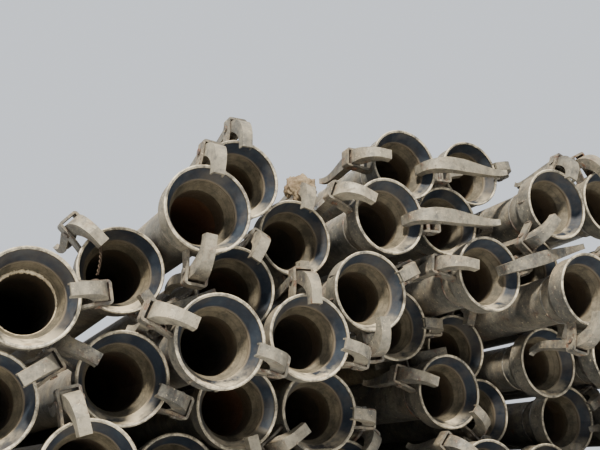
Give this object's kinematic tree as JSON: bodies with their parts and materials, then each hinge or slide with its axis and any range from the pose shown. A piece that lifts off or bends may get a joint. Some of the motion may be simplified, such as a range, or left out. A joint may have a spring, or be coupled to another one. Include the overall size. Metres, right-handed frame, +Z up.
{
  "type": "heap of quick-coupling steel irrigation pipes",
  "caption": "Loose heap of long galvanised steel pipes, each with a flared socket, rubber ring, two claw levers in flat-bar stirrups and a ball-shaped far end.",
  "frame": {"origin": "on the ground, under the middle of the heap", "axes": "+Y runs along the pipes from their sockets to their ball ends, +Z is up, +X is to the right as seen from the sockets"},
  "size_m": [2.4186, 6.4048, 1.0364],
  "materials": {
    "tube_steel": "weathered galvanised, dusty",
    "socket_steel": "weathered galvanised, worn rims",
    "seal_rubber": "matte, dusty",
    "stirrup_steel": "weathered galvanised flat bar",
    "lever_steel": "galvanised pressed sheet",
    "pin_steel": "rusty"
  },
  "bodies": {
    "heap": {"ball_ends_row_1": "socket_steel", "ball_ends_row_2": "socket_steel", "ball_ends_row_3": "socket_steel", "ball_ends_row_4": "socket_steel", "ball_ends_row_5": "socket_steel", "ball_ends_row_6": "socket_steel", "ball_ends_row_7": "socket_steel", "ball_ends_row_8": "socket_steel", "lever_pins_row_1": "pin_steel", "lever_pins_row_2": "pin_steel", "lever_pins_row_3": "pin_steel", "lever_pins_row_4": "pin_steel", "lever_pins_row_5": "pin_steel", "lever_pins_row_6": "pin_steel", "lever_pins_row_7": "pin_steel", "lever_pins_row_8": "pin_steel", "levers_row_1": "lever_steel", "levers_row_2": "lever_steel", "levers_row_3": "lever_steel", "levers_row_4": "lever_steel", "levers_row_5": "lever_steel", "levers_row_6": "lever_steel", "levers_row_7": "lever_steel", "levers_row_8": "lever_steel", "seal_rings_row_1": "seal_rubber", "seal_rings_row_2": "seal_rubber", "seal_rings_row_3": "seal_rubber", "seal_rings_row_4": "seal_rubber", "seal_rings_row_5": "seal_rubber", "seal_rings_row_6": "seal_rubber", "seal_rings_row_7": "seal_rubber", "seal_rings_row_8": "seal_rubber", "sockets_row_1": "socket_steel", "sockets_row_2": "socket_steel", "sockets_row_3": "socket_steel", "sockets_row_4": "socket_steel", "sockets_row_5": "socket_steel", "sockets_row_6": "socket_steel", "sockets_row_7": "socket_steel", "sockets_row_8": "socket_steel", "stirrups_row_1": "stirrup_steel", "stirrups_row_2": "stirrup_steel", "stirrups_row_3": "stirrup_steel", "stirrups_row_4": "stirrup_steel", "stirrups_row_5": "stirrup_steel", "stirrups_row_6": "stirrup_steel", "stirrups_row_7": "stirrup_steel", "stirrups_row_8": "stirrup_steel", "tubes_row_1": "tube_steel", "tubes_row_2": "tube_steel", "tubes_row_3": "tube_steel", "tubes_row_4": "tube_steel", "tubes_row_5": "tube_steel", "tubes_row_6": "tube_steel", "tubes_row_7": "tube_steel", "tubes_row_8": "tube_steel"},
    "crown_lever_1": {"crown_lever_1": "lever_steel"},
    "crown_lever_2": {"crown_lever_2": "lever_steel"},
    "crown_lever_3": {"crown_lever_3": "lever_steel"}
  },
  "joints": [
    {"name": "crown_lever_1_hinge", "type": "hinge", "parent": "heap", "child": "crown_lever_1", "pos_m": [-0.4685, -3.10074, 0.81313], "axis": [-0.9945, -0.0013, 0.1045], "range_deg": [0, 12]},
    {"name": "crown_lever_2_hinge", "type": "hinge", "parent": "heap", "child": "crown_lever_2", "pos_m": [-0.36756, -2.97371, 0.92249], "axis": [-1, -0.0044, 0], "range_deg": [0, 12]},
    {"name": "crown_lever_3_hinge", "type": "hinge", "parent": "heap", "child": "crown_lever_3", "pos_m": [0.40772, -3.07234, 0.9357], "axis": [-0.9272, 0.0097, 0.3745], "range_deg": [0, 12]}
  ]
}
